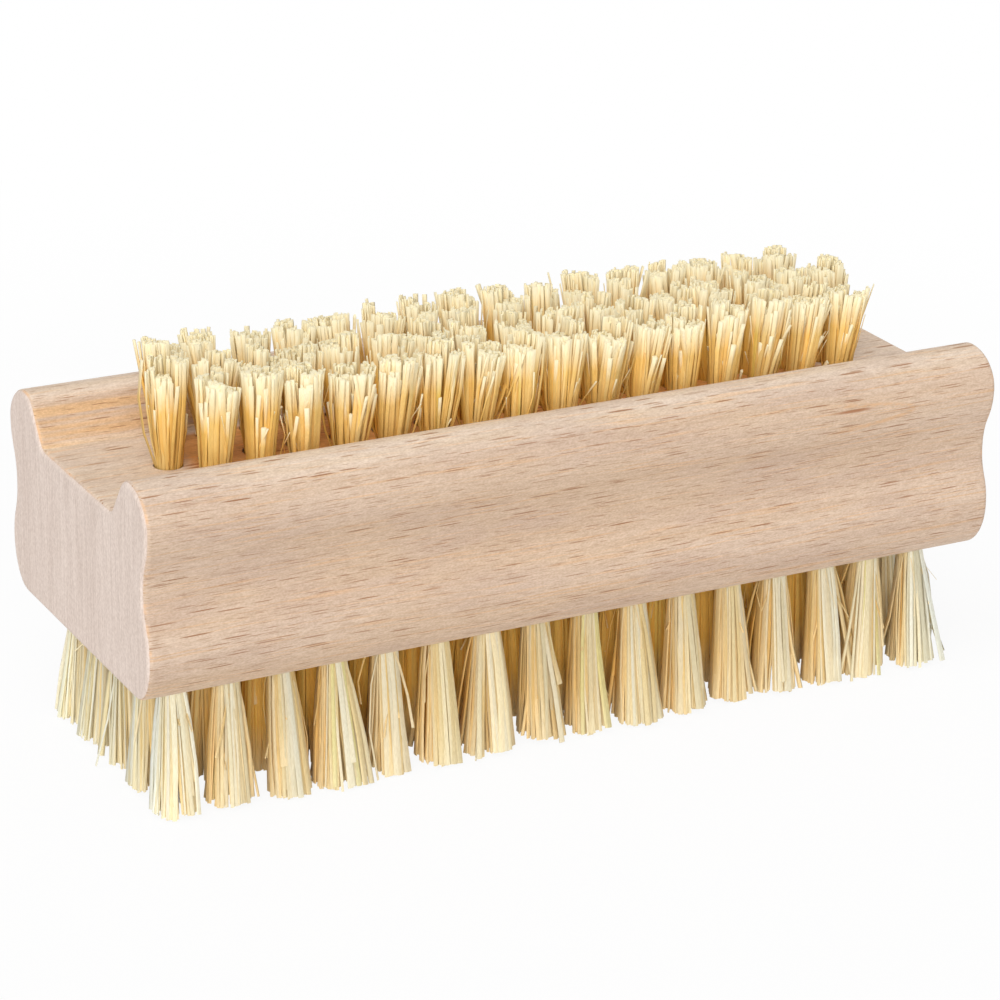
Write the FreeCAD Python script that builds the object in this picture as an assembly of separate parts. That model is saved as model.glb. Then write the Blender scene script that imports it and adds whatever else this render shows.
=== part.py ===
import FreeCAD, Part
import math
import os

from FreeCAD import Vector

# Double-sided wooden nail brush: a beech block with a finger waist, short bristles in the
# channel on top and a field of longer bristles below. Sizes in millimetres. +X runs along
# the brush and +Z up. The origin is on the surface that the lower bristles stand on, under
# the middle of the block.

# Wooden block
block_length = 95.0
block_width = 36.0              # across the lower bulge, and across the lips
block_height = 21.8             # underside to the crest of the lips
underside_inset = 3.75          # from the widest place in to the flat of the underside
lower_bulge_height = 5.1        # widest place of the lower bulge, above the underside
lip_bulge_drop = 3.9            # widest place of the lips, below their crest
waist_depth = 1.35              # finger groove along each long side
lip_crest_inset = 4.4           # from the widest place in to the crest of a lip
lip_crest_radius = 2.6          # round from a crest down to the channel wall
channel_depth = 4.6             # crest of the lips to the channel floor
channel_wall_angle = 55.0       # slope of the channel wall, degrees from level
channel_corner_radius = 1.3
end_arris_radius = 0.6          # softened edge round each end face

# Drilled holes
hole_diameter = 3.0
hole_bottom_web = 3.2           # wood left between the upper and the lower holes
hole_edge_margin = 1.5          # wood from the outer holes to the edge of their flat, across the brush
upper_hole_web = 1.72           # wood between neighbouring holes of a row
upper_end_margin = 8.1          # least wood from a hole to the end face
lower_hole_web = 2.66
lower_end_margin = 3.4
upper_row_count = 3             # staggered rows in the channel
lower_row_count = 5             # straight rows under the block

# Bristle tufts
upper_free_length = 10.6        # channel floor to the trimmed tips
lower_free_length = 14.0        # underside to the trimmed tips
upper_tip_gap = 0.42            # between the spread tips of neighbouring tufts
lower_tip_gap = 0.96
upper_row_lean = 5.4            # outward lean at the edge of the field, degrees, across the brush
lower_row_lean = 5.0
upper_end_lean = 2.7            # outward lean at the end of the field, degrees, along the brush
lower_end_lean = 1.7
tuft_clearance = 0.05           # all round, between a tuft and its hole

# Anchor wires, flat steel driven across the hole over each folded tuft
anchor_thickness = 0.28
anchor_height = 1.5
anchor_bite = 0.35              # depth of each end in the wall of the hole
fold_thickness = 0.8            # fibre folded under the anchor

underside_z = lower_free_length
channel_floor_z = underside_z + block_height - channel_depth
hole_radius = hole_diameter / 2
hole_depth = (block_height - channel_depth - hole_bottom_web) / 2
lip_crest_y = block_width / 2 - lip_crest_inset
underside_width = block_width - 2 * underside_inset
quarter_round_pull = 0.5523     # share of the way to the corner where a cubic draws a quarter round

X_AXIS = Vector(1, 0, 0)
Z_AXIS = Vector(0, 0, 1)


def channel_wall():
    """Ends of the +Y channel wall: where it leaves the crest's round, and its foot on the floor."""
    slope = math.radians(channel_wall_angle)
    crest_z = underside_z + block_height
    top_y = lip_crest_y - lip_crest_radius * math.sin(slope)
    top_z = crest_z - lip_crest_radius * (1 - math.cos(slope))
    foot_y = top_y - (top_z - channel_floor_z) / math.tan(slope)
    return Vector(0, top_y, top_z), Vector(0, foot_y, channel_floor_z)


def cubic(start, start_pull, end_pull, end):
    curve = Part.BezierCurve()
    curve.setPoles([start, start_pull, end_pull, end])
    return curve.toShape()


def quarter_round(start, corner, end):
    """Round from start to end, tangent to the two lines that meet at the corner."""
    start_pull = start + (corner - start) * quarter_round_pull
    end_pull = end + (corner - end) * quarter_round_pull
    return cubic(start, start_pull, end_pull, end)


def s_curve(start, end):
    """Upright at both ends, easing sideways between them."""
    middle_z = (start.z + end.z) / 2
    return cubic(start, Vector(0, start.y, middle_z), Vector(0, end.y, middle_z), end)


def half_outline():
    """Edges of the +Y half of the block's section, from the underside's middle to the floor's."""
    side_y = block_width / 2
    crest_z = underside_z + block_height
    bottom_edge = Vector(0, underside_width / 2, underside_z)
    lower_bulge = Vector(0, side_y, underside_z + lower_bulge_height)
    lip_bulge = Vector(0, side_y, crest_z - lip_bulge_drop)
    waist = Vector(0, side_y - waist_depth, (lower_bulge.z + lip_bulge.z) / 2)
    crest = Vector(0, lip_crest_y, crest_z)
    wall_top, wall_foot = channel_wall()

    half_slope = math.radians(channel_wall_angle) / 2
    crest_middle = Vector(0, lip_crest_y - lip_crest_radius * math.sin(half_slope),
                          crest_z - lip_crest_radius * (1 - math.cos(half_slope)))

    # The corner round touches the floor and the wall at the same distance from the foot.
    touch = channel_corner_radius * math.tan(half_slope)
    up_wall = (wall_top - wall_foot).normalize()
    round_top = wall_foot + up_wall * touch
    round_end = wall_foot - Vector(0, touch, 0)
    round_centre = round_end + Z_AXIS * channel_corner_radius
    to_foot = (wall_foot - round_centre).normalize()
    round_middle = round_centre + to_foot * channel_corner_radius

    return [
        Part.LineSegment(Vector(0, 0, underside_z), bottom_edge).toShape(),
        quarter_round(bottom_edge, Vector(0, side_y, underside_z), lower_bulge),
        s_curve(lower_bulge, waist),
        s_curve(waist, lip_bulge),
        quarter_round(lip_bulge, Vector(0, side_y, crest_z), crest),
        Part.Arc(crest, crest_middle, wall_top).toShape(),
        Part.LineSegment(wall_top, round_top).toShape(),
        Part.Arc(round_top, round_middle, round_end).toShape(),
        Part.LineSegment(round_end, Vector(0, 0, channel_floor_z)).toShape(),
    ]


def plain_block():
    """The moulded block before drilling, with its end arrises softened."""
    right = half_outline()
    left = [edge.mirror(Vector(0, 0, 0), Vector(0, 1, 0)) for edge in right]
    section = Part.Wire(Part.__sortEdges__(right + left))
    section.translate(X_AXIS * (-block_length / 2))
    body = Part.Face(section).extrude(X_AXIS * block_length)
    end_edges = []
    for edge in body.Edges:
        box = edge.BoundBox
        if box.XLength < end_arris_radius and abs(abs(box.Center.x) - block_length / 2) < end_arris_radius:
            end_edges.append(edge)
    return body.makeFillet(end_arris_radius, end_edges)


def centred_places(count, step):
    """Places on one line, a step apart and centred on zero."""
    return [(index - (count - 1) / 2) * step for index in range(count)]


def field(flat_width, row_count, hole_web, end_margin, staggered):
    """Hole places row by row from front to back, with the half length and half width of the field."""
    room_along = block_length - 2 * end_margin - hole_diameter
    room_across = flat_width - 2 * hole_edge_margin - hole_diameter
    pitch = hole_diameter + hole_web
    row_pitch = room_across / (row_count - 1)
    long_row = centred_places(int(room_along / pitch) + 1, pitch)
    short_row = [place + pitch / 2 for place in long_row[:-1]]
    rows = []
    for index, y in enumerate(centred_places(row_count, row_pitch)):
        from_middle = abs(index - (row_count - 1) // 2)
        along = short_row if staggered and from_middle % 2 else long_row
        rows.append([(x, y) for x in along])
    if staggered:
        neighbour = min(pitch, math.hypot(pitch / 2, row_pitch))
    else:
        neighbour = min(pitch, row_pitch)
    return {"rows": rows, "half_length": room_along / 2, "half_width": room_across / 2, "neighbour": neighbour}


def side(name, mouth_z, direction, free_length, tip_gap, row_lean, end_lean, holes):
    """What the tufts of one side of the brush share."""
    return {
        "name": name,
        "mouth_z": mouth_z,
        "direction": direction,
        "free_length": free_length,
        "tip_radius": (holes["neighbour"] - tip_gap) / 2,
        "lean_across": row_lean / holes["half_width"],
        "lean_along": end_lean / holes["half_length"],
        "rows": holes["rows"],
    }


def ring(x, y, z, radius):
    return Part.Wire(Part.Circle(Vector(x, y, z), Z_AXIS, radius).toShape())


def hole_bottom_z(brush_side):
    return brush_side["mouth_z"] - brush_side["direction"] * hole_depth


def hole(brush_side, x, y):
    low_z = min(brush_side["mouth_z"], hole_bottom_z(brush_side))
    return Part.makeCylinder(hole_radius, hole_depth, Vector(x, y, low_z))


def anchor(brush_side, x, y):
    """Flat wire on edge across the hole, its ends in the wood."""
    length = hole_diameter + 2 * anchor_bite
    near_z = hole_bottom_z(brush_side) + brush_side["direction"] * fold_thickness
    far_z = near_z + brush_side["direction"] * anchor_height
    corner = Vector(x - anchor_thickness / 2, y - length / 2, min(near_z, far_z))
    return Part.makeBox(anchor_thickness, length, anchor_height, corner)


def tuft(brush_side, x, y):
    """Fibre bundle folded in the hole, spreading and leaning outwards to its trimmed tip."""
    reach = brush_side["free_length"]
    tip_x = x + reach * math.tan(math.radians(brush_side["lean_along"] * x))
    tip_y = y + reach * math.tan(math.radians(brush_side["lean_across"] * y))
    tip_z = brush_side["mouth_z"] + brush_side["direction"] * reach
    root_radius = hole_radius - tuft_clearance
    rings = [
        ring(x, y, hole_bottom_z(brush_side), root_radius),
        ring(x, y, brush_side["mouth_z"], root_radius),
        ring(tip_x, tip_y, tip_z, brush_side["tip_radius"]),
    ]
    bundle = Part.makeLoft(rings, True, True)
    return bundle.cut(anchor(brush_side, x, y))


def write(name, solids):
    Part.makeCompound(solids).exportStep(os.path.join("parts", name + ".step"))
    volume = sum(solid.Volume for solid in solids)
    print(name, len(solids), "solids", round(volume, 2), "mm3")


channel_floor_width = 2 * channel_wall()[1].y
upper_holes = field(channel_floor_width, upper_row_count, upper_hole_web, upper_end_margin, True)
lower_holes = field(underside_width, lower_row_count, lower_hole_web, lower_end_margin, False)
brush_sides = [
    side("upper", channel_floor_z, 1, upper_free_length, upper_tip_gap, upper_row_lean, upper_end_lean,
         upper_holes),
    side("lower", underside_z, -1, lower_free_length, lower_tip_gap, lower_row_lean, lower_end_lean,
         lower_holes),
]

os.makedirs("parts", exist_ok=True)
cutters = []
for brush_side in brush_sides:
    for number, row in enumerate(brush_side["rows"], start=1):
        anchors = [anchor(brush_side, x, y) for x, y in row]
        tufts = [tuft(brush_side, x, y) for x, y in row]
        write("{}_tufts_row_{}".format(brush_side["name"], number), tufts)
        write("{}_anchors_row_{}".format(brush_side["name"], number), anchors)
        cutters += [hole(brush_side, x, y) for x, y in row] + anchors
block = plain_block().cut(cutters)
write("block", block.Solids)
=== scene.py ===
import math

import bpy
import numpy as np
from mathutils import Matrix, Vector


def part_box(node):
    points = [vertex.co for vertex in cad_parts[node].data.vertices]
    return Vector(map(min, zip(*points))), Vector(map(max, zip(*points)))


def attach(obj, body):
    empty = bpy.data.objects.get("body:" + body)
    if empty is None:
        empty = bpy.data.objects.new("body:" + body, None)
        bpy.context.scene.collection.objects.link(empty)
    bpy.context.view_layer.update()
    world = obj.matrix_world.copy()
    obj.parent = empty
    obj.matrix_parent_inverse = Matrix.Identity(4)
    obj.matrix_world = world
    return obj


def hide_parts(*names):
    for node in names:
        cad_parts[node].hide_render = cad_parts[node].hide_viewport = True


# Double-sided nail brush: a beech block with folded bundles of plant fibre on both faces.
# Metres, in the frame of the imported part. The sizes of wood, wire and fibre in the
# dictionaries are millimetres, and those of the studio and the view are metres.

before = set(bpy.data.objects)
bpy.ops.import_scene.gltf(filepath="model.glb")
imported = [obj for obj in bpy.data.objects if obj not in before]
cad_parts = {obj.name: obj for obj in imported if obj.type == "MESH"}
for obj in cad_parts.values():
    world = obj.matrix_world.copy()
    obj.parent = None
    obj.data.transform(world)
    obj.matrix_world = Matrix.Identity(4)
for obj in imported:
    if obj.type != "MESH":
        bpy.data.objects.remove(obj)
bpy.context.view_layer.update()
mm = 0.001
millimetresPerMetre = 1000.0
softDetail = 2.0                     # octaves of noise in plain figure
fineDetail = 3.0                     # and in figure with fine breaks
print("frame:", len(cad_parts), "nodes loaded")


# Shader helpers

def addNode(tree, kind, settings=None, inputs=None):
    # one node: settings by name, inputs by socket name or number, where a socket is linked and a value is set
    made = tree.nodes.new(kind)
    for name, value in (settings or {}).items():
        setattr(made, name, value)
    for name, value in (inputs or {}).items():
        if isinstance(value, bpy.types.NodeSocket):
            tree.links.new(value, made.inputs[name])
        else:
            made.inputs[name].default_value = value
    return made


def calculate(tree, operation, first, second=0.0, third=1.0):
    inputs = {0: first, 1: second, 2: third}
    return addNode(tree, "ShaderNodeMath", {"operation": operation}, inputs).outputs[0]


def product(tree, first, *others):
    for other in others:
        first = calculate(tree, "MULTIPLY", first, other)
    return first


def vectorMath(tree, operation, first, second):
    return addNode(tree, "ShaderNodeVectorMath", {"operation": operation}, {0: first, 1: second}).outputs[0]


def vectorLength(tree, vector):
    return addNode(tree, "ShaderNodeVectorMath", {"operation": "LENGTH"}, {0: vector}).outputs["Value"]


def splitAxes(tree, vector):
    return addNode(tree, "ShaderNodeSeparateXYZ", None, {0: vector}).outputs


def ramp(tree, value, fromLow, fromHigh, toLow=0.0, toHigh=1.0):
    # eases from toLow to toHigh while the value goes from fromLow to fromHigh
    settings = {"interpolation_type": "SMOOTHSTEP"}
    inputs = {"Value": value, "From Min": fromLow, "From Max": fromHigh, "To Min": toLow, "To Max": toHigh}
    return addNode(tree, "ShaderNodeMapRange", settings, inputs).outputs["Result"]


def within(tree, value, riseFrom, riseTo, fallFrom, fallTo):
    # 1 between two places, easing to 0 outside them
    rise = ramp(tree, value, riseFrom, riseTo)
    fall = ramp(tree, value, fallFrom, fallTo, 1.0, 0.0)
    return product(tree, rise, fall)


def blendColour(tree, share, first, second):
    # a mix node takes its two colours at inputs 6 and 7 and gives the blend at output 2
    inputs = {0: share, 6: first, 7: second}
    return addNode(tree, "ShaderNodeMix", {"data_type": "RGBA"}, inputs).outputs[2]


def tinted(tree, base, value, fromLow, fromHigh, darkest, palest):
    # the base times a tint that goes from darkest to palest with the value
    tint = blendColour(tree, ramp(tree, value, fromLow, fromHigh), darkest, palest)
    return vectorMath(tree, "MULTIPLY", base, tint)


def colour(red, green, blue):
    return (red, green, blue, 1.0)


def newGroup(name, inputs, outputs):
    tree = bpy.data.node_groups.new(name, "ShaderNodeTree")
    for label, kind in inputs:
        tree.interface.new_socket(label, in_out="INPUT", socket_type=kind)
    for label, kind in outputs:
        tree.interface.new_socket(label, in_out="OUTPUT", socket_type=kind)
    return tree, tree.nodes.new("NodeGroupInput").outputs, tree.nodes.new("NodeGroupOutput").inputs


def newMaterial(name):
    # an empty node material, and the coordinates of the object that wears it
    material = bpy.data.materials.new(name)
    material.use_nodes = True
    tree = material.node_tree
    tree.nodes.clear()
    return material, tree, tree.nodes.new("ShaderNodeTexCoord").outputs


def inMillimetres(tree, place):
    return vectorMath(tree, "MULTIPLY", place["Object"], (millimetresPerMetre,) * 3)


def bumpySurface(tree, look, base, roughness, height):
    bump = addNode(tree, "ShaderNodeBump", None, {
        "Strength": look["bumpStrength"], "Distance": look["bumpHeight"] * mm, "Height": height})
    return addNode(tree, "ShaderNodeBsdfPrincipled", None, {
        "Base Color": base, "Roughness": roughness, "Specular IOR Level": look["specular"],
        "Normal": bump.outputs["Normal"]})


def showSurface(tree, shader):
    output = tree.nodes.new("ShaderNodeOutputMaterial")
    tree.links.new(shader.outputs[0], output.inputs["Surface"])


def streakGroup():
    # noise drawn out by a length along each axis
    tree, given, result = newGroup(
        "drawnStreaks",
        [("Point", "NodeSocketVector"), ("Lengths", "NodeSocketVector"), ("Detail", "NodeSocketFloat")],
        [("Value", "NodeSocketFloat")])
    drawn = vectorMath(tree, "DIVIDE", given["Point"], given["Lengths"])
    inputs = {"Vector": drawn, "Scale": 1.0, "Detail": given["Detail"]}
    noise = addNode(tree, "ShaderNodeTexNoise", None, inputs)
    tree.links.new(noise.outputs["Fac"], result["Value"])
    return tree


fleckShape = {
    "smallest": 0.55,                # share of the reach that the smallest flecks have
    "core": 0.55,                    # share of a fleck that has its full depth
    "faintest": 0.25,
}


def fleckGroup():
    # spindles: the inside of a small reach round the points of stretched cells, for a share of the cells
    tree, given, result = newGroup(
        "rayFlecks",
        [("Point", "NodeSocketVector"), ("Cell", "NodeSocketVector"), ("Reach", "NodeSocketFloat"),
         ("Share", "NodeSocketFloat")],
        [("Mask", "NodeSocketFloat")])
    drawn = vectorMath(tree, "DIVIDE", given["Point"], given["Cell"])
    cells = addNode(tree, "ShaderNodeTexVoronoi", None, {"Vector": drawn, "Scale": 1.0}).outputs
    chance = addNode(tree, "ShaderNodeSeparateColor", None, {"Color": cells["Color"]}).outputs
    reach = product(tree, given["Reach"], ramp(tree, chance["Blue"], 0.0, 1.0, fleckShape["smallest"], 1.0))
    core = product(tree, reach, fleckShape["core"])
    spindle = ramp(tree, cells["Distance"], core, reach, 1.0, 0.0)
    shown = calculate(tree, "LESS_THAN", chance["Red"], given["Share"])
    depth = ramp(tree, chance["Green"], 0.0, 1.0, fleckShape["faintest"], 1.0)
    tree.links.new(product(tree, spindle, shown, depth), result["Mask"])
    return tree


drawnStreaks = streakGroup()
rayFlecks = fleckGroup()


def streaks(tree, point, lengths, detail):
    inputs = {"Point": point, "Lengths": lengths, "Detail": detail}
    return addNode(tree, "ShaderNodeGroup", {"node_tree": drawnStreaks}, inputs).outputs["Value"]


def flecks(tree, point, cell, reach, share):
    inputs = {"Point": point, "Cell": cell, "Reach": reach, "Share": share}
    return addNode(tree, "ShaderNodeGroup", {"node_tree": rayFlecks}, inputs).outputs["Mask"]


# Beech block

beech = {
    "earlyWood": colour(0.637, 0.486, 0.373),
    "lateWood": colour(0.602, 0.443, 0.316),
    "pinkCloud": colour(0.555, 0.409, 0.314),
    "warmLine": colour(0.649, 0.419, 0.250),
    "fleck": colour(0.307, 0.136, 0.057),
    "wallRingBounce": colour(0.708, 0.437, 0.206),
    "endGrain": colour(0.779, 0.655, 0.578),
    "endLine": colour(0.614, 0.490, 0.419),
    "arris": colour(0.826, 0.507, 0.283),
    "streak": colour(0.354, 0.153, 0.065),
    "hook": colour(0.661, 0.366, 0.165),

    # how far each figure is drawn out along, across and up the block
    "ringLengths": (80.0, 1.2, 18.0),       # growth rings stand across the brush, so they vary along Y
    "cloudLengths": (13.0, 4.0, 3.0),
    "warmLineLengths": (11.0, 0.7, 0.22),
    "wallRingBounceLengths": (45.0, 9.0, 1.0),    # rings that the slope of the channel walls cuts through, with painted golden bounce light
    "bandLengths": (14.0, 0.9, 0.55),
    "grainLengths": (1.0, 0.3, 0.16),
    "poreLengths": (0.28, 0.14, 0.11),
    "endLineLengths": (30.0, 0.24, 7.0),
    "endBandLengths": (30.0, 2.4, 25.0),
    "endMottleLengths": (0.3, 0.2, 0.34),
    "arrisPatchLengths": (9.0, 4.0, 1.4),

    # where in its noise a figure starts and is full, and its share at both
    "ringRamp": (0.36, 0.66, 0.0, 1.0),
    "cloudRamp": (0.38, 0.70, 0.0, 0.8),
    "warmLineRamp": (0.54, 0.70, 0.0, 0.7),
    "wallRingBounceRamp": (0.42, 0.60, 0.0, 0.7),
    "hookRamp": (0.35, 0.60, 0.1, 0.55),
    "endLineRamp": (0.35, 0.70, 0.0, 0.55),
    "endBandRamp": (0.40, 0.70, 0.0, 0.3),
    "arrisPatchRamp": (0.48, 0.66, 0.0, 0.6),

    # where in its noise a tint is darkest and palest, and both tints
    "bandTint": (0.30, 0.70, colour(0.97, 0.96, 0.95), colour(1.03, 1.04, 1.05)),
    "grainTint": (0.28, 0.72, colour(0.93, 0.915, 0.90), colour(1.06, 1.065, 1.07)),
    "poreTint": (0.30, 0.70, colour(0.92, 0.89, 0.86), colour(1.07, 1.085, 1.10)),
    "endMottleTint": (0.30, 0.70, colour(0.92, 0.90, 0.89), colour(1.07, 1.08, 1.09)),

    "waviness": (0.0, 1.1, 0.6),            # how far the grain wanders
    "waveLength": (24.0, 14.0, 9.0),
    "longFleckCell": (5.6, 0.7, 0.21),
    "longFleckShare": 0.85,
    "shortFleckCell": (2.8, 0.45, 0.15),
    "shortFleckShare": 0.8,
    "shortFleckDepth": 0.7,                 # beside the long flecks
    "fleckReach": 0.38,
    "fleckDepth": 0.92,
    "paintedLevelLight": (1.20, 1.28, 1.34),       # painted light: faces that turn up or down, the top and the underside, are made paler than the sides
    "paintedLevelFacing": (0.6, 0.97),            # how far the surface turns up or down where that sets in
    "amongTufts": (0.96, 0.58, 0.23),       # painted shade: the wood among the tufts is browned, for the fibres' shadow and golden light
    "paintedShadeAlong": (34.5, 37.0),             # from the middle, where that fades along the brush
    "paintedShadeAcross": (6.4, 7.8),              # and across it
    "wallReach": (8.2, 8.9, 11.2, 12.6),    # from the middle, where the channel walls start and end
    "channelFloor": 31.3,
    "streakPlace": (29.8, -17.5, 32.35),    # one dark mineral streak on the front lip
    "streakReach": (3.6, 3.0, 0.26),
    "streakCore": 0.25,                     # share of the reach that has its full depth
    "streakDepth": 0.9,
    "hookPlace": (37.1, 31.6),              # tip of the curled ring beside the streak, along and up
    "hookCurl": 4.4,
    "hookReach": (0.05, 0.34),
    "hookLength": (25.0, 31.0),             # where the curled ring fades in along the brush
    "hookDepth": (-13.0, -12.0),
    "endFacing": (0.6, 0.74),               # how far the surface turns to face along the brush at end grain
    "arrisFacing": (0.2, 0.5, 0.62, 0.82),  # and where the rounded edge starts and ends
    "shineRamp": (0.2, 0.8, 0.68, 0.52),    # pale grain is the smoother
    "fleckSink": 0.8,
    "bumpStrength": 0.3,
    "bumpHeight": 0.05,
    "specular": 0.35,
}


def figure(tree, point, kind, detail):
    # the share of one kind of figure: noise drawn out by its lengths and cut to its ramp
    noise = streaks(tree, point, beech[f"{kind}Lengths"], detail)
    return ramp(tree, noise, *beech[f"{kind}Ramp"])


def wander(tree, point):
    # the point moved by slow noise, so that the grain isn't dead straight
    slow = vectorMath(tree, "DIVIDE", point, beech["waveLength"])
    noise = addNode(tree, "ShaderNodeTexNoise", None, {"Vector": slow, "Scale": 1.0, "Detail": softDetail})
    centred = vectorMath(tree, "SUBTRACT", noise.outputs["Color"], (0.5, 0.5, 0.5))
    return vectorMath(tree, "ADD", point, vectorMath(tree, "MULTIPLY", centred, beech["waviness"]))


def mineralStreak(tree, point):
    # strongest on a short line along the grain, 0 at its reach
    away = vectorMath(tree, "SUBTRACT", point, beech["streakPlace"])
    distance = vectorLength(tree, vectorMath(tree, "DIVIDE", away, beech["streakReach"]))
    return ramp(tree, distance, beech["streakCore"], 1.0, beech["streakDepth"], 0.0)


def curledRing(tree, point):
    # how near the point is to a parabola that opens along the brush, on the front side only
    axes = splitAxes(tree, point)
    tipAlong, tipUp = beech["hookPlace"]
    rise = calculate(tree, "SUBTRACT", axes["Z"], tipUp)
    slope = product(tree, rise, 2.0 * beech["hookCurl"])
    sag = product(tree, rise, rise, beech["hookCurl"])
    miss = calculate(tree, "SUBTRACT", calculate(tree, "ADD", axes["X"], sag), tipAlong)
    steepness = calculate(tree, "SQRT", calculate(tree, "MULTIPLY_ADD", slope, slope))
    distance = calculate(tree, "DIVIDE", calculate(tree, "ABSOLUTE", miss), steepness)
    broken = ramp(tree, streaks(tree, point, beech["grainLengths"], softDetail), *beech["hookRamp"])
    line = ramp(tree, distance, *beech["hookReach"], broken, 0.0)
    start = ramp(tree, axes["X"], *beech["hookLength"])
    front = ramp(tree, axes["Y"], *beech["hookDepth"], 1.0, 0.0)
    return product(tree, line, start, front)


def wallRingsAndBounce(tree, point):
    # orange bands that follow the height, only where the distance from the middle is that of the channel
    # walls: growth rings, and painted golden bounce light from the bristles
    axes = splitAxes(tree, point)
    wall = within(tree, calculate(tree, "ABSOLUTE", axes["Y"]), *beech["wallReach"])
    above = calculate(tree, "GREATER_THAN", axes["Z"], beech["channelFloor"])
    return product(tree, wall, above, figure(tree, point, "wallRingBounce", softDetail))


def fleckDarkness(tree, point):
    reach = beech["fleckReach"]
    longOnes = flecks(tree, point, beech["longFleckCell"], reach, beech["longFleckShare"])
    shortOnes = flecks(tree, point, beech["shortFleckCell"], reach, beech["shortFleckShare"])
    return calculate(tree, "MAXIMUM", longOnes, product(tree, shortOnes, beech["shortFleckDepth"]))


def sideGrain(tree, wavy, grain, fleckMask):
    # rings, clouds and lines mix the wood tones, fine grain tints them, and flecks and marks lie on top
    bands = streaks(tree, wavy, beech["bandLengths"], softDetail)
    pores = streaks(tree, wavy, beech["poreLengths"], softDetail)
    wood = blendColour(tree, figure(tree, wavy, "ring", softDetail), beech["earlyWood"], beech["lateWood"])
    wood = blendColour(tree, figure(tree, wavy, "cloud", fineDetail), wood, beech["pinkCloud"])
    wood = blendColour(tree, figure(tree, wavy, "warmLine", softDetail), wood, beech["warmLine"])
    # the channel walls take orange bands, partly growth rings and partly painted golden bounce light
    wood = blendColour(tree, wallRingsAndBounce(tree, wavy), wood, beech["wallRingBounce"])
    wood = tinted(tree, wood, bands, *beech["bandTint"])
    wood = tinted(tree, wood, grain, *beech["grainTint"])
    wood = tinted(tree, wood, pores, *beech["poreTint"])
    wood = blendColour(tree, product(tree, fleckMask, beech["fleckDepth"]), wood, beech["fleck"])
    wood = blendColour(tree, curledRing(tree, wavy), wood, beech["hook"])
    return blendColour(tree, mineralStreak(tree, wavy), wood, beech["streak"])


def levelLightAndShade(tree, wood, point, facing):
    # painted light makes the faces that turn up or down paler, and painted shade browns the wood within the
    # tufts' field
    level = ramp(tree, calculate(tree, "ABSOLUTE", facing["Z"]), *beech["paintedLevelFacing"])
    wood = blendColour(tree, level, wood, vectorMath(tree, "MULTIPLY", wood, beech["paintedLevelLight"]))
    axes = splitAxes(tree, point)
    along = ramp(tree, calculate(tree, "ABSOLUTE", axes["X"]), *beech["paintedShadeAlong"], 1.0, 0.0)
    across = ramp(tree, calculate(tree, "ABSOLUTE", axes["Y"]), *beech["paintedShadeAcross"], 1.0, 0.0)
    # painted shade and golden bounce light of the fibres on the level wood among the tufts
    shadedAmongTufts = vectorMath(tree, "MULTIPLY", wood, beech["amongTufts"])
    return blendColour(tree, product(tree, along, across, level), wood, shadedAmongTufts)


def endFace(tree, point, wavy):
    wood = blendColour(tree, figure(tree, point, "endLine", softDetail), beech["endGrain"], beech["endLine"])
    wood = blendColour(tree, figure(tree, wavy, "endBand", softDetail), wood, beech["endLine"])
    mottle = streaks(tree, point, beech["endMottleLengths"], softDetail)
    return tinted(tree, wood, mottle, *beech["endMottleTint"])


def beechMaterial():
    # side grain, then end grain where the surface faces along the brush, and burnished patches between them
    material, tree, place = newMaterial("beech_sanded")
    point = inMillimetres(tree, place)
    wavy = wander(tree, point)
    grain = streaks(tree, wavy, beech["grainLengths"], fineDetail)
    fleckMask = fleckDarkness(tree, wavy)
    facing = splitAxes(tree, place["Normal"])
    endShare = calculate(tree, "ABSOLUTE", facing["X"])
    wood = levelLightAndShade(tree, sideGrain(tree, wavy, grain, fleckMask), point, facing)
    wood = blendColour(tree, ramp(tree, endShare, *beech["endFacing"]), wood, endFace(tree, point, wavy))
    edge = within(tree, endShare, *beech["arrisFacing"])
    patches = figure(tree, point, "arrisPatch", fineDetail)
    wood = blendColour(tree, product(tree, edge, patches), wood, beech["arris"])
    height = calculate(tree, "SUBTRACT", grain, product(tree, fleckMask, beech["fleckSink"]))
    shine = ramp(tree, grain, *beech["shineRamp"])
    showSurface(tree, bumpySurface(tree, beech, wood, shine, height))
    return material


# Anchor wires

wire = {
    "steel": colour(0.56, 0.56, 0.55),
    "drawnLine": colour(0.42, 0.42, 0.42),
    "drawnLengths": (0.05, 1.5, 0.05),
    "glossRamp": (0.3, 0.7, 0.28, 0.5),
    "halfThickness": 0.14,
    "height": 1.5,
}


def wireMaterial():
    # drawn steel: fine lines along the wire vary the gloss
    material, tree, place = newMaterial("anchor_wire_steel")
    lines = streaks(tree, inMillimetres(tree, place), wire["drawnLengths"], softDetail)
    gloss = ramp(tree, lines, *wire["glossRamp"])
    shade = blendColour(tree, lines, wire["steel"], wire["drawnLine"])
    showSurface(tree, addNode(tree, "ShaderNodeBsdfPrincipled", None, {
        "Base Color": shade, "Roughness": gloss, "Metallic": 1.0}))
    return material


# Bristles

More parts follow.
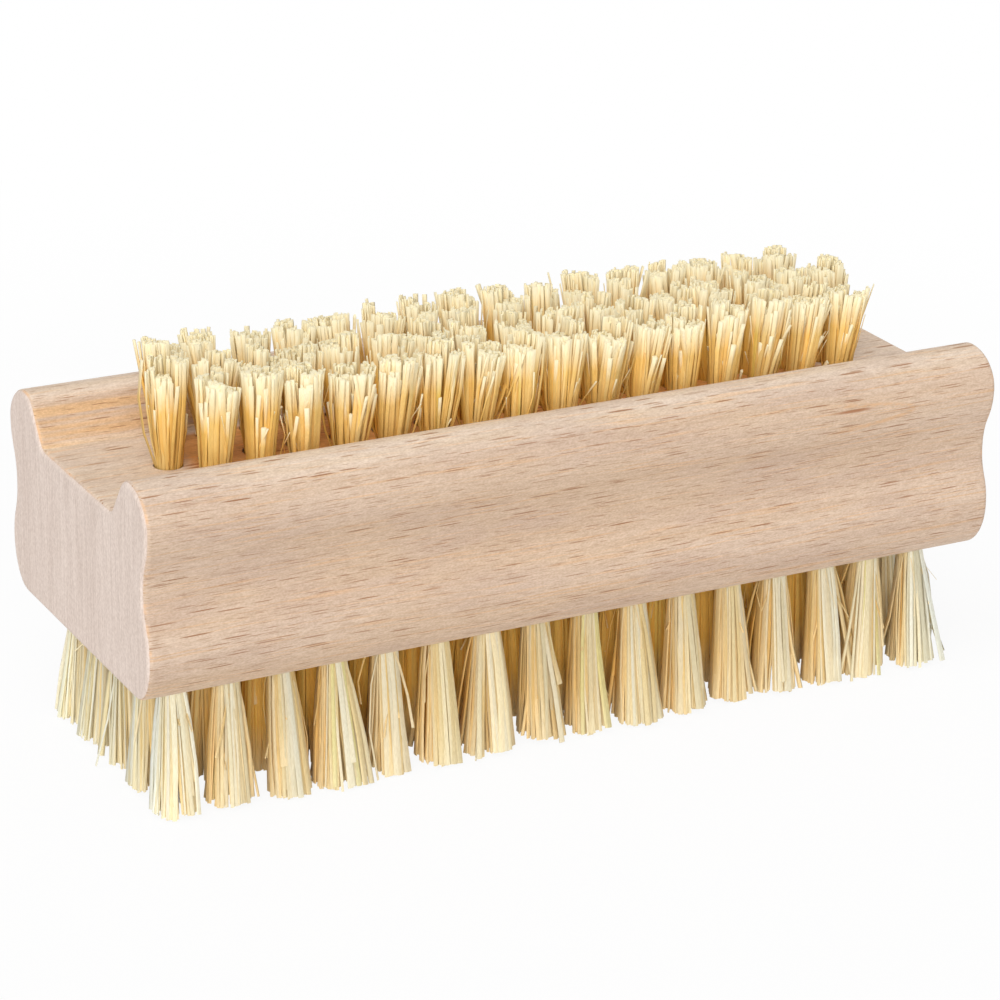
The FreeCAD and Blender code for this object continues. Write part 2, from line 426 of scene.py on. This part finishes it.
fibre = {
    "radiusSpread": 0.28,            # share of the radius
    "radiusLimits": (0.45, 1.7),
    "taper": (0.86, 1.25),           # share of the radius in the hole and at the tip
    "flatness": (0.32, 0.62),
    "facingJitter": 0.35,            # the flat of a fibre faces out of its tuft, give or take this angle
    "tuftRoundness": 0.85,           # how much the shading of a fibre follows the round of its tuft
    "roundnessOnset": 0.4,           # and how far round to its inner side that reaches
    "sides": 5,
    "freeStations": (1.0, 0.64, 0.3, 0.0),    # share of the free length, from the tip to the hole
    "rootJitter": 0.05,
    "tipJitter": 0.2,
    "tuftTilt": 0.3,                 # how far a whole tuft strays at its tip
    "endTilt": 0.25,                 # share of that for the tufts at the ends of a row
    "tuftFan": (0.9, 1.08),          # how widely each tuft fans
    "clumps": 5,
    "clumpPull": 0.26,
    "clumpTone": (0.92, 1.05),
    "bow": 0.13,
    "strayShare": 0.035,
    "strayReach": (1.2, 1.6),
    "strayBow": 0.39,
    "wispShare": 0.03,               # thin curled fibres that have worked loose
    "wispRadius": 0.42,
    "wispLength": (0.3, 0.75),       # share of the free length
    "wispReach": (0.6, 2.4),
    "wispBow": 0.45,
    "foldRoom": 0.8,                 # under the wire
    "besideWire": 0.9,               # share of its place at the mouth that a leg keeps beside the wire
    "foldAlong": 0.45,               # share of its place beside the wire that it keeps under it, lengthwise
    "foldAcross": 0.85,              # share of its place at the mouth that it keeps there, across the brush
    "foldLevel": 0.78,               # share of the room at which the inmost fibres fold
    "foldFall": 0.5,                 # how much lower the outmost ones do
    "white": (0.84, 0.78, 0.59),
    "cream": (0.82, 0.72, 0.47),
    "straw": (0.81, 0.67, 0.37),
    "gold": (0.80, 0.62, 0.30),
    "green": (0.77, 0.70, 0.34),
    "brown": (0.77, 0.57, 0.28),
    "toneSpread": 0.05,
    "palest": 0.97,
    "cutEndPaleAndLit": (0.97, 0.89, 0.63),
    "cutPaleAndLitStart": 0.75,            # share of the free length where a fibre starts to pale to its cut end, partly its own colour and partly painted light on the tips
    "litTipStart": 0.5,              # and where the painted shade starts to leave it
    "paintedShadeDepth": (6.0, 2.4),       # from the ends and the sides, where the painted shade has gained two thirds
    "paintedEndLightDepth": 5.0,             # the painted light makes the fibres palest within about this distance from the ends
    "streakLengths": (0.09, 0.09, 3.0),
    "streakTint": (0.25, 0.75, colour(0.92, 0.90, 0.86), colour(1.05, 1.06, 1.08)),
    "glossRamp": (0.2, 0.8, 0.42, 0.60),
    "bumpStrength": 0.3,
    "bumpHeight": 0.02,
    "specular": 0.3,
}
toneNames = ("white", "cream", "straw", "gold", "green", "brown")
bristleSides = {
    "upper": {
        "way": 1,                                # up or down from the block
        "tuftCounts": (16, 17, 16),              # row by row, from the front
        "middleRow": 2,
        "seed": 41,
        "folds": 62,                             # fibres folded into one hole
        "fibreRadius": 0.19,
        "rootRadius": 1.3,
        "tipFill": 1.1,                          # how much of the solid tuft's tip the fibres spread over
        "endLean": 0.2,                          # share of the solid tufts' lean along the brush
        "clumpDrop": (-0.4, 1.4),                # how far clumps and fibres end short of the trimmed plane
        "fibreDrop": 0.22,
        "shortShare": 0.28,
        "shortDrop": 1.6,
        "toneShares": (0.03, 0.29, 0.48, 0.17, 0.015, 0.015),
        "level": 0.90,
        "paintedShadeTint": (1.14, 0.80, 0.25),          # painted shade: times the tone, deep in the field
        "tuftDepth": 0.7,                        # tuft radii in which that sets in
        "litEdge": 0.36,                    # how much of that painted shade the outside and the tips lose
        "litTip": 0.76,
        "cutPaleAndLit": 0.9,
        "paintedEndLight": (0.0, 0.0, 0.0),              # painted light: how much paler the ends of the field are made
        "tipsUp": 1.6,                           # how much the shading turns to the cut ends
    },
    "lower": {
        "way": -1,
        "tuftCounts": (16, 16, 16, 16, 16),
        "middleRow": 3,
        "seed": 73,
        "folds": 80,
        "fibreRadius": 0.21,
        "rootRadius": 1.18,
        "tipFill": 1.08,
        "endLean": 0.35,
        "clumpDrop": (0.02, 0.6),
        "fibreDrop": 0.14,
        "shortShare": 0.05,
        "shortDrop": 1.4,
        "toneShares": (0.36, 0.42, 0.18, 0.02, 0.015, 0.005),
        "level": 0.94,
        "paintedShadeTint": (1.24, 0.79, 0.18),
        "tuftDepth": 2.4,
        "litEdge": 1.0,
        "litTip": 0.35,
        "cutPaleAndLit": 0.3,
        "paintedEndLight": (0.12, 0.25, 0.50),
        "tipsUp": 0.0,
    },
}
goldenShare = (math.sqrt(5.0) - 1.0) / 2.0
fibreMap = {                         # shares of the square of the map that one fibre has
    "wallCorner": (0.06, 0.05),
    "wallSize": (0.88, 0.72),
    "endRadius": 0.07,
    "endPlaces": ((0.28, 0.89), (0.72, 0.89)),
}


def fibreMaterial():
    # each fibre's own tint, broken by fine streaks along it
    material, tree, place = newMaterial("bristle_plant_fibre")
    tint = addNode(tree, "ShaderNodeAttribute", {"attribute_name": "fibreTint"}).outputs["Color"]
    fine = streaks(tree, inMillimetres(tree, place), fibre["streakLengths"], softDetail)
    shade = tinted(tree, tint, fine, *fibre["streakTint"])
    gloss = ramp(tree, fine, *fibre["glossRamp"])
    showSurface(tree, bumpySurface(tree, fibre, shade, gloss, fine))
    return material


def tuftLayout(side, row):
    # hole centres from the wires' box, tip centres from the tufts' box less the tip radius, and three levels
    look = bristleSides[side]
    wireLow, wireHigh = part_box(f"{side}_anchors_row_{row}")
    tuftLow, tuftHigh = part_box(f"{side}_tufts_row_{row}")
    middleLow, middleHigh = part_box(f"{side}_tufts_row_{look['middleRow']}")
    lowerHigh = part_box("lower_tufts_row_1")[1]
    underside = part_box("block")[0].z
    tipRadius = (middleHigh.y - middleLow.y) / 2.0
    inset = wire["halfThickness"] * mm
    rootX = np.linspace(wireLow.x + inset, wireHigh.x - inset, look["tuftCounts"][row - 1])
    rootY = (wireLow.y + wireHigh.y) / 2.0
    endLean = look["endLean"] * (tuftHigh.x - tipRadius - rootX[-1]) / rootX[-1]
    tipX = rootX * (1.0 + endLean)
    tipY = tuftHigh.y - tipRadius if rootY > 0 else tuftLow.y + tipRadius
    holeDepth = lowerHigh.z - underside
    bottom, tip = (tuftLow.z, tuftHigh.z) if look["way"] > 0 else (tuftHigh.z, tuftLow.z)
    return {
        "root": np.stack((rootX, np.full_like(rootX, rootY)), axis=-1),
        "tip": np.stack((tipX, np.full_like(tipX, tipY)), axis=-1),
        "tipRadius": tipRadius,
        "bottom": bottom,
        "mouth": bottom + look["way"] * holeDepth,
        "tipLevel": tip,
    }


def rootSpots(random, tufts, look):
    # golden-angle spots over half of the hole for one leg of each fold, mirrored for the other
    folds = look["folds"]
    index = np.arange(folds)
    reach = look["rootRadius"] * mm * np.sqrt((index + 0.5) / folds)
    turn = math.pi * (0.5 + np.mod(index * goldenShare, 1.0))
    spots = np.stack((reach * np.cos(turn), reach * np.sin(turn)), axis=-1)
    legs = np.stack((spots, spots * np.array((-1.0, 1.0))), axis=1)
    return legs + random.normal(0.0, fibre["rootJitter"] * mm, (tufts, folds, 2, 2))


def nearestClump(random, spread):
    # a few legs of each tuft are clump centres: the number and the place of the nearest one, for every leg
    chosen = random.integers(0, spread.shape[1], (len(spread), fibre["clumps"]))
    centres = np.take_along_axis(spread, chosen[..., None], axis=1)
    distance = np.linalg.norm(spread[:, :, None] - centres[:, None], axis=-1)
    clump = distance.argmin(axis=-1)
    return clump, np.take_along_axis(centres, clump[..., None], axis=1)


def tipSpots(random, spots, layout, look):
    # root spots spread to the tip's radius and drawn towards the nearest clump, with each leg's shortfall
    tufts, folds = spots.shape[:2]
    legs = folds * 2
    fan = look["tipFill"] * layout["tipRadius"] / (look["rootRadius"] * mm)
    spread = spots.reshape(tufts, legs, 2) * fan * random.uniform(*fibre["tuftFan"], (tufts, 1, 1))
    spread = spread + random.normal(0.0, fibre["tipJitter"] * mm, spread.shape)
    stray = random.random((tufts, legs, 1)) < fibre["strayShare"]
    spread = np.where(stray, spread * random.uniform(*fibre["strayReach"], stray.shape), spread)
    clump, centre = nearestClump(random, spread)
    spread = np.where(stray, spread, spread + fibre["clumpPull"] * (centre - spread))
    tilt = random.normal(0.0, fibre["tuftTilt"] * mm, (tufts, 1, 2))
    tilt[[0, -1]] *= fibre["endTilt"]
    clumpDrop = random.uniform(*look["clumpDrop"], (tufts, fibre["clumps"]))
    drop = np.take_along_axis(clumpDrop, clump, axis=1)
    drop = drop + np.abs(random.normal(0.0, look["fibreDrop"], drop.shape))
    short = random.random(drop.shape) < look["shortShare"]
    drop = drop + short * random.exponential(look["shortDrop"], drop.shape)
    tones = random.uniform(*fibre["clumpTone"], (tufts, fibre["clumps"]))
    byFold = (tufts, folds, 2)
    return {
        "spots": (spread + tilt).reshape(byFold + (2,)),
        "drop": drop.reshape(byFold) * mm,
        "clumpTone": np.take_along_axis(tones, clump, axis=1).reshape(byFold),
        "stray": stray.reshape(byFold),
    }


def loosened(random, spots, tips, layout):
    # a few legs are shortened, and their tips turned out any way from where they leave the hole
    drop = tips["drop"]
    wisp = random.random(drop.shape) < fibre["wispShare"]
    freeLength = abs(layout["tipLevel"] - layout["mouth"])
    shorter = freeLength * (1.0 - random.uniform(*fibre["wispLength"], drop.shape))
    turn = random.uniform(0.0, 2.0 * math.pi, drop.shape)
    reach = random.uniform(*fibre["wispReach"], drop.shape) * mm
    away = spots + reach[..., None] * np.stack((np.cos(turn), np.sin(turn)), axis=-1)
    return wisp, np.where(wisp[..., None], away, tips["spots"]), np.where(wisp, shorter, drop)


def freeLegs(random, spots, layout, look):
    # each leg from its tip to the mouth of the hole, bowed a little, with the wisps and the clumps' tones
    tips = tipSpots(random, spots, layout, look)
    wisp, tipSpot, drop = loosened(random, spots, tips, layout)
    rootAt = layout["root"][:, None, None] + spots
    tipAt = layout["tip"][:, None, None] + tipSpot
    tipZ = layout["tipLevel"] - look["way"] * drop
    share = np.array(fibre["freeStations"])
    bend = np.where(tips["stray"], fibre["strayBow"], fibre["bow"])
    bend = np.where(wisp, fibre["wispBow"], bend) * mm
    bow = random.normal(0.0, 1.0, spots.shape) * bend[..., None]
    across = rootAt[..., None, :] + (tipAt - rootAt)[..., None, :] * share[:, None]
    across = across + bow[..., None, :] * (4.0 * share * (1.0 - share))[:, None]
    along = layout["mouth"] + (tipZ - layout["mouth"])[..., None] * share
    return np.concatenate((across, along[..., None]), axis=-1), wisp, tips["clumpTone"]


def legsInHole(spots, layout, look):
    # each leg goes down beside the wire and turns in under it
    holeX, holeY = np.moveaxis(layout["root"][:, None, None], -1, 0)
    clear = (wire["halfThickness"] + look["fibreRadius"]) * mm
    legSide = np.array((-1.0, 1.0))
    besideX = legSide * np.maximum(np.abs(spots[..., 0]) * fibre["besideWire"], clear)
    besideY = holeY + spots[..., 1] * fibre["besideWire"]
    wireMiddle = layout["bottom"] + look["way"] * (fibre["foldRoom"] + wire["height"] / 2.0) * mm
    beside = np.stack((holeX + besideX, besideY, np.full_like(besideX, wireMiddle)), axis=-1)
    outness = np.abs(besideX) / (look["rootRadius"] * mm)
    above = fibre["foldRoom"] * mm * (fibre["foldLevel"] - fibre["foldFall"] * outness)
    underX = holeX + besideX * fibre["foldAlong"]
    underY = holeY + spots[..., 1] * fibre["foldAcross"]
    under = np.stack((underX, underY, layout["bottom"] + look["way"] * above), axis=-1)
    return np.stack((beside, under), axis=-2)


def fibrePaths(random, layout, look):
    # the legs of each fold, joined under the wire into one path, with what sets the look of each leg
    spots = rootSpots(random, len(layout["root"]), look)
    free, wisp, clumpTone = freeLegs(random, spots, layout, look)
    legs = np.concatenate((free, legsInHole(spots, layout, look)), axis=-2)
    paths = np.concatenate((legs[:, :, 0], legs[:, :, 1, ::-1]), axis=-2)
    facing = np.arctan2(-spots[:, :, 0, 1], spots[:, :, 0, 0])
    facing = facing + random.normal(0.0, fibre["facingJitter"], facing.shape)
    thickness = np.where(wisp, fibre["wispRadius"], 1.0) * look["fibreRadius"] * mm
    fromAxis = np.linalg.norm(spots, axis=-1)
    # how deep in its tuft each leg lies, which deepens its painted shade; wisps take the deepest
    sunk = np.where(wisp, 1.0, np.clip(1.0 - fromAxis / (look["rootRadius"] * mm), 0.0, 1.0))
    outward = np.concatenate((spots / fromAxis[..., None], np.zeros(fromAxis.shape + (1,))), axis=-1)
    looks = {
        "facing": facing.ravel(),
        "clumpTone": clumpTone.reshape(-1, 2),
        "sunk": sunk.reshape(-1, 2),
        "thickness": thickness.reshape(-1, 2),
        "outward": outward.reshape(-1, 2, 3),
        "tipsUp": look["tipsUp"],
    }
    return paths.reshape((-1,) + paths.shape[2:]), looks


def tipShares(stations):
    # share of the free length at each station of a folded fibre, 0 inside the hole
    inHole = (0.0,) * (stations // 2 - len(fibre["freeStations"]))
    leg = np.array(fibre["freeStations"] + inHole)
    return np.concatenate((leg, leg[::-1]))


def unit(vectors):
    return vectors / np.linalg.norm(vectors, axis=-1, keepdims=True)


def crossAxes(paths, facing):
    # the wide and the thin way of each fibre, turned by its facing from an axis near Y, which no path follows
    tangent = unit(np.gradient(paths, axis=1))
    first = unit(np.array((0.0, 1.0, 0.0)) - tangent[..., 1:2] * tangent)
    second = np.cross(tangent, first)
    turn = facing[:, None, None]
    wide = first * np.cos(turn) + second * np.sin(turn)
    thin = second * np.cos(turn) - first * np.sin(turn)
    return wide[:, :, None], thin[:, :, None]


def leaned(normal, looks):
    # each normal leans from the fibre's own round to that of the tuft, on the side that faces out of it
    stations = normal.shape[1]
    outward = np.repeat(looks["outward"], stations // 2, axis=1)
    outward = outward + np.array((0.0, 0.0, looks["tipsUp"])) * (tipShares(stations) ** 2)[:, None]
    outward = unit(outward)[:, :, None]
    outside = (normal * outward).sum(axis=-1, keepdims=True)
    lean = fibre["tuftRoundness"] * np.clip(outside + fibre["roundnessOnset"], 0.0, 1.0)
    return normal + lean * (outward - normal)


def ringAngles():
    return np.arange(fibre["sides"]) * 2.0 * math.pi / fibre["sides"]


def tubes(random, paths, looks):
    # an ellipse carried along each path: its points and their normals
    count, stations = paths.shape[:2]
    wide, thin = crossAxes(paths, looks["facing"])
    radius = np.repeat(looks["thickness"], stations // 2, axis=1)[..., None, None]
    spread = random.normal(1.0, fibre["radiusSpread"], (count, 1, 1, 1))
    radius = radius * np.clip(spread, *fibre["radiusLimits"])
    inHole, atTip = fibre["taper"]
    radius = radius * (inHole + (atTip - inHole) * tipShares(stations))[:, None, None]
    flat = random.uniform(*fibre["flatness"], (count, 1, 1, 1))
    cosine = np.cos(ringAngles())[:, None]
    sine = np.sin(ringAngles())[:, None]
    points = paths[:, :, None] + radius * (cosine * wide + flat * sine * thin)
    normals = leaned(unit(flat * cosine * wide + sine * thin), looks)
    return points.reshape(-1, 3), normals.reshape(-1, 3)


def tubeFaces(count, stations):
    # quads between the rings, and a polygon over each cut end
    sides = fibre["sides"]
    station, side = np.meshgrid(np.arange(stations - 1), np.arange(sides), indexing="ij")
    nextSide = (side + 1) % sides
    quads = np.stack((station * sides + side, station * sides + nextSide,
                      (station + 1) * sides + nextSide, (station + 1) * sides + side), axis=-1).reshape(-1, 4)
    caps = np.stack((np.arange(sides)[::-1], (stations - 1) * sides + np.arange(sides)))
    offset = (np.arange(count) * stations * sides)[:, None, None]
    return (quads + offset).reshape(-1, 4), (caps + offset).reshape(-1, sides)


def fibreCells(count, stations):
    # every fibre has its own square of the map: its wall unrolled below, its two cut ends above
    sides = fibre["sides"]
    columns = math.ceil(math.sqrt(count))
    corner = np.stack((np.arange(count) % columns, np.arange(count) // columns), axis=-1) / columns
    station, side = np.meshgrid(np.arange(stations - 1), np.arange(sides), indexing="ij")
    across = (side[..., None] + np.array((0, 1, 1, 0))) / sides
    along = (station[..., None] + np.array((0, 0, 1, 1))) / (stations - 1)
    wall = np.stack((across, along), axis=-1).reshape(-1, 2)
    wall = np.array(fibreMap["wallCorner"]) + wall * np.array(fibreMap["wallSize"])
    circle = fibreMap["endRadius"] * np.stack((np.cos(ringAngles()), np.sin(ringAngles())), axis=-1)
    firstEnd, lastEnd = fibreMap["endPlaces"]
    ends = np.concatenate((circle[::-1] + firstEnd, circle + lastEnd))
    walls = corner[:, None] + wall / columns
    caps = corner[:, None] + ends / columns
    return np.concatenate((walls.reshape(-1, 2), caps.reshape(-1, 2)))


def pastPlace(share, start):
    # 0 up to the start, rising evenly to 1 at the tip
    return np.clip((share - start) / (1.0 - start), 0.0, 1.0)


def litShare(paths, side, tipShare, sunk):
    # the share of a fibre's own tone against its painted shade: highest at the outside of the field, falling
    # with the depth in it and in the tuft, raised at the tips
    look = bristleSides[side]
    lastRow = len(look["tuftCounts"])
    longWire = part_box(f"{side}_anchors_row_{look['middleRow']}")[1]
    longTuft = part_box(f"{side}_tufts_row_{look['middleRow']}")[1]
    lastWireLow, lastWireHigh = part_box(f"{side}_anchors_row_{lastRow}")
    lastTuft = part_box(f"{side}_tufts_row_{lastRow}")[1]
    rootReach = look["rootRadius"] * mm
    atMouth = np.array((longWire.x + rootReach, (lastWireLow.y + lastWireHigh.y) / 2.0 + rootReach))
    atTip = np.array((longTuft.x, lastTuft.y))
    halves = atMouth + (atTip - atMouth) * tipShare[:, None]
    depths = (halves - np.abs(paths[..., :2])) / (np.array(fibre["paintedShadeDepth"]) * mm)
    inside = np.clip(depths.min(axis=-1), 0.0, None)
    edge = look["litEdge"] * np.exp(-inside - sunk / look["tuftDepth"])
    rise = pastPlace(tipShare, fibre["litTipStart"])
    return np.maximum(edge, look["litTip"] * rise * rise * (3.0 - 2.0 * rise))


def fibreTints(random, paths, side, looks):
    # a tone for each fibre and a shade for each clump, paler at the cut ends partly with painted light, with
    # painted light at the ends of the field and painted shade deeper inside it
    look = bristleSides[side]
    count, stations = paths.shape[:2]
    tones = np.array([fibre[name] for name in toneNames])
    picked = tones[random.choice(len(tones), count, p=look["toneShares"])]
    picked = picked * random.normal(look["level"], fibre["toneSpread"], (count, 1))
    tipShare = tipShares(stations)
    leg = np.repeat((0, 1), stations // 2)
    shade = picked[:, None] * looks["clumpTone"][:, leg, None]
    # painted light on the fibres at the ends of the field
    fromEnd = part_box(f"{side}_tufts_row_1")[1].x - np.abs(paths[..., :1])
    shade = shade * (1.0 + np.array(look["paintedEndLight"]) * np.exp(-fromEnd / (fibre["paintedEndLightDepth"] * mm)))
    # painted shade deep in the field and in the tufts, lifted at the outside and the tips
    deep = shade * np.array(look["paintedShadeTint"])
    along = deep + (shade - deep) * litShare(paths, side, tipShare, looks["sunk"][:, leg])[..., None]
    # the cut ends are paler, partly in their own colour and partly with painted light on the tips
    pale = look["cutPaleAndLit"] * pastPlace(tipShare, fibre["cutPaleAndLitStart"])[:, None]
    along = along + (np.array(fibre["cutEndPaleAndLit"]) - along) * pale
    rgba = np.concatenate((np.clip(along, 0.0, fibre["palest"]), np.ones((count, stations, 1))), axis=-1)
    return np.repeat(rgba, fibre["sides"], axis=1)


def bristleRow(side, row, material):
    look = bristleSides[side]
    random = np.random.default_rng(look["seed"] + row)
    paths, looks = fibrePaths(random, tuftLayout(side, row), look)
    count, stations = paths.shape[:2]
    points, normals = tubes(random, paths, looks)
    quads, caps = tubeFaces(count, stations)
    mesh = bpy.data.meshes.new(f"{side}_bristles_row_{row}")
    mesh.from_pydata(points.tolist(), [], quads.tolist() + caps.tolist())
    smooth = np.concatenate((np.ones(len(quads), bool), np.zeros(len(caps), bool)))
    mesh.polygons.foreach_set("use_smooth", smooth)
    capNormals = np.zeros((caps.size, 3))    # 0 keeps a cap's own
    cornerNormals = np.concatenate((normals[quads.ravel()], capNormals))
    mesh.normals_split_custom_set(cornerNormals.tolist())
    tint = mesh.attributes.new("fibreTint", "FLOAT_COLOR", "POINT")
    tint.data.foreach_set("color", fibreTints(random, paths, side, looks).ravel())
    cells = mesh.uv_layers.new(name="OFBake")
    cells.uv.foreach_set("vector", fibreCells(count, stations).ravel())
    mesh.materials.append(material)
    piece = bpy.data.objects.new(mesh.name, mesh)
    bpy.context.scene.collection.objects.link(piece)
    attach(piece, "root")
    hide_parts(f"{side}_tufts_row_{row}")
    print(mesh.name, count, "folded fibres,", len(mesh.polygons), "faces")


def dressNode(name, material):
    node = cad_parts[name]
    node.data.materials.clear()
    node.data.materials.append(material)


beechWood = beechMaterial()
wireSteel = wireMaterial()
plantFibre = fibreMaterial()
dressNode("block", beechWood)
for side, look in bristleSides.items():
    for row in range(1, len(look["tuftCounts"]) + 1):
        dressNode(f"{side}_anchors_row_{row}", wireSteel)
        bristleRow(side, row, plantFibre)


# Floor, light and camera

studio = {
    "floorSize": 6.0,
    "paper": colour(0.90, 0.90, 0.90),
    "white": colour(1.0, 1.0, 1.0),
    "floorGlow": 0.92,               # share of plain white that the camera sees in the floor's shadow
    "shadowReach": (0.07, 0.20),     # beyond this the floor is plain white
    "ambient": 0.455,
    "keyPlace": (-0.70, -0.60, 1.80),
    "keySize": 1.2,
    "keyPower": 16.6,
    "fillPlace": (-1.40, -2.52, 0.84),
    "fillSize": 2.0,
    "fillPower": 44.0,
    "aim": (0.0, 0.0, 0.022),
}
view = {
    "place": (-0.15952, -0.29645, 0.15337),
    "aim": (-0.00106, 0.0, 0.02141),
    "roll": -1.1,                    # degrees, to the right of upright
    "lens": 126.2,                   # millimetres, like the sensor
    "sensor": 36.0,
    "nearest": 0.01,
}


def seenDirectly(tree):
    # 1 for what the camera sees straight, in gloss or through glass
    path = tree.nodes.new("ShaderNodeLightPath").outputs
    gloss = calculate(tree, "MAXIMUM", path["Is Glossy Ray"], path["Is Transmission Ray"])
    return calculate(tree, "MAXIMUM", path["Is Camera Ray"], gloss)


def makeFloor():
    # one level square, white, part of it plain glow for the camera
    half = studio["floorSize"] / 2.0
    mesh = bpy.data.meshes.new("studio_floor")
    corners = [(-half, -half, 0), (half, -half, 0), (half, half, 0), (-half, half, 0)]
    mesh.from_pydata(corners, [], [(0, 1, 2, 3)])
    material, tree, place = newMaterial("studio_floor_white")
    paper = addNode(tree, "ShaderNodeBsdfDiffuse", None, {"Color": studio["paper"]})
    glow = addNode(tree, "ShaderNodeEmission", None, {"Color": studio["white"], "Strength": 1.0})
    away = vectorLength(tree, place["Object"])
    glowShare = ramp(tree, away, *studio["shadowReach"], studio["floorGlow"], 1.0)
    share = product(tree, seenDirectly(tree), glowShare)
    mixed = addNode(tree, "ShaderNodeMixShader", None, {0: share, 1: paper.outputs[0], 2: glow.outputs[0]})
    showSurface(tree, mixed)
    mesh.materials.append(material)
    floor = bpy.data.objects.new("studio_floor", mesh)
    bpy.context.scene.collection.objects.link(floor)


def makeWorld():
    # white for the camera, a plain even level for the light
    world = bpy.data.worlds.new("studio_world")
    world.use_nodes = True
    tree = world.node_tree
    tree.nodes.clear()
    level = addNode(tree, "ShaderNodeMapRange", None, {
        "Value": seenDirectly(tree), "To Min": studio["ambient"], "To Max": 1.0})
    sky = addNode(tree, "ShaderNodeBackground", None, {
        "Color": studio["white"], "Strength": level.outputs["Result"]})
    output = tree.nodes.new("ShaderNodeOutputWorld")
    tree.links.new(sky.outputs[0], output.inputs["Surface"])
    bpy.context.scene.world = world


def makeLamp(name, place, size, power):
    lamp = bpy.data.lights.new(name, "AREA")
    lamp.shape = "DISK"
    lamp.size = size
    lamp.energy = power
    carrier = bpy.data.objects.new(name, lamp)
    towards = Vector(studio["aim"]) - Vector(place)
    carrier.matrix_world = Matrix.Translation(place) @ towards.to_track_quat("-Z", "Y").to_matrix().to_4x4()
    bpy.context.scene.collection.objects.link(carrier)


def makeCamera():
    # looks from place to aim, then turns by the roll about that line
    camera = bpy.data.cameras.new("photo_camera")
    camera.lens = view["lens"]
    camera.sensor_width = view["sensor"]
    camera.clip_start = view["nearest"]
    forward = (Vector(view["aim"]) - Vector(view["place"])).normalized()
    level = forward.cross(Vector((0, 0, 1))).normalized()
    upright = level.cross(forward)
    roll = math.radians(view["roll"])
    up = upright * math.cos(roll) + level * math.sin(roll)
    right = forward.cross(up)
    turned = Matrix((right, up, -forward)).transposed().to_4x4()
    carrier = bpy.data.objects.new("photo_camera", camera)
    carrier.matrix_world = Matrix.Translation(view["place"]) @ turned
    bpy.context.scene.collection.objects.link(carrier)
    bpy.context.scene.camera = carrier


makeFloor()
makeWorld()
makeLamp("key_light", studio["keyPlace"], studio["keySize"], studio["keyPower"])
makeLamp("fill_light", studio["fillPlace"], studio["fillSize"], studio["fillPower"])
makeCamera()
bpy.context.scene.view_settings.view_transform = "Standard"
print("studio ready")
